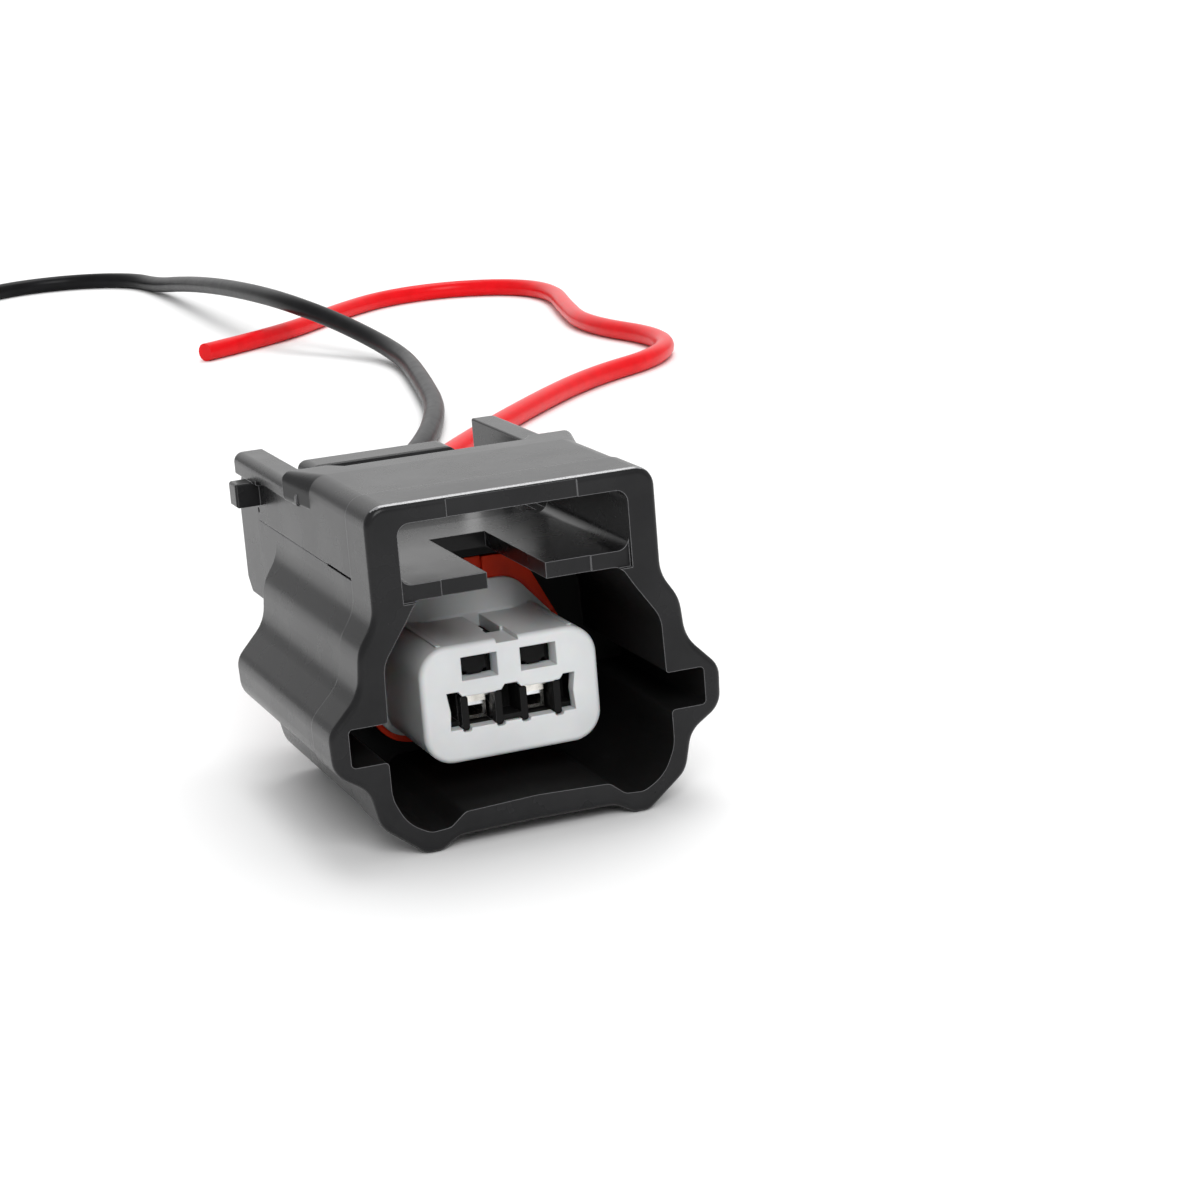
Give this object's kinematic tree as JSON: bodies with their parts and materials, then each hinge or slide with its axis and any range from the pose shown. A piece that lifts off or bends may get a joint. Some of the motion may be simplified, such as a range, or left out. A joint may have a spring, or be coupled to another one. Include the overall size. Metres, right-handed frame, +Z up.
{
  "type": "prewired connector plug",
  "caption": "Sealed prewired plug: flared keyed hood with tunnel and slotted deck, lock arm between guard rails, grey retainer over socket terminals, ring seal and loose insulated wires",
  "frame": {"origin": "bottom centre of the housing's bounding box, on the surface that its two feet stand on; the loose wires are left out of that box", "axes": "+Z up out of the roof, +Y along the plug from the front rim towards the wires, +X to the right as seen from the front rim"},
  "size_m": [0.1083, 0.3382, 0.024],
  "materials": {
    "black_housing": "moulded, fine satin grain",
    "grey_retainer": "moulded, smooth satin",
    "red_silicone": "moulded silicone, slightly oily",
    "tinned_terminal": "bright tin plating over copper alloy sheet",
    "spring_leaf": "stainless spring sheet",
    "copper_strands": "bare stranded copper",
    "black_insulation": "smooth extruded insulation",
    "red_insulation": "smooth extruded insulation"
  },
  "bodies": {
    "root": {"housing": "black_housing", "front_retainer": "grey_retainer", "ring_seal": "red_silicone", "terminal_left": "tinned_terminal", "terminal_right": "tinned_terminal", "contact_spring_left": "spring_leaf", "contact_spring_right": "spring_leaf", "conductor_left": "copper_strands", "conductor_right": "copper_strands", "wire_seal_left": "red_silicone", "wire_seal_right": "red_silicone", "wire_black": "black_insulation", "wire_red": "red_insulation"}
  },
  "joints": []
}
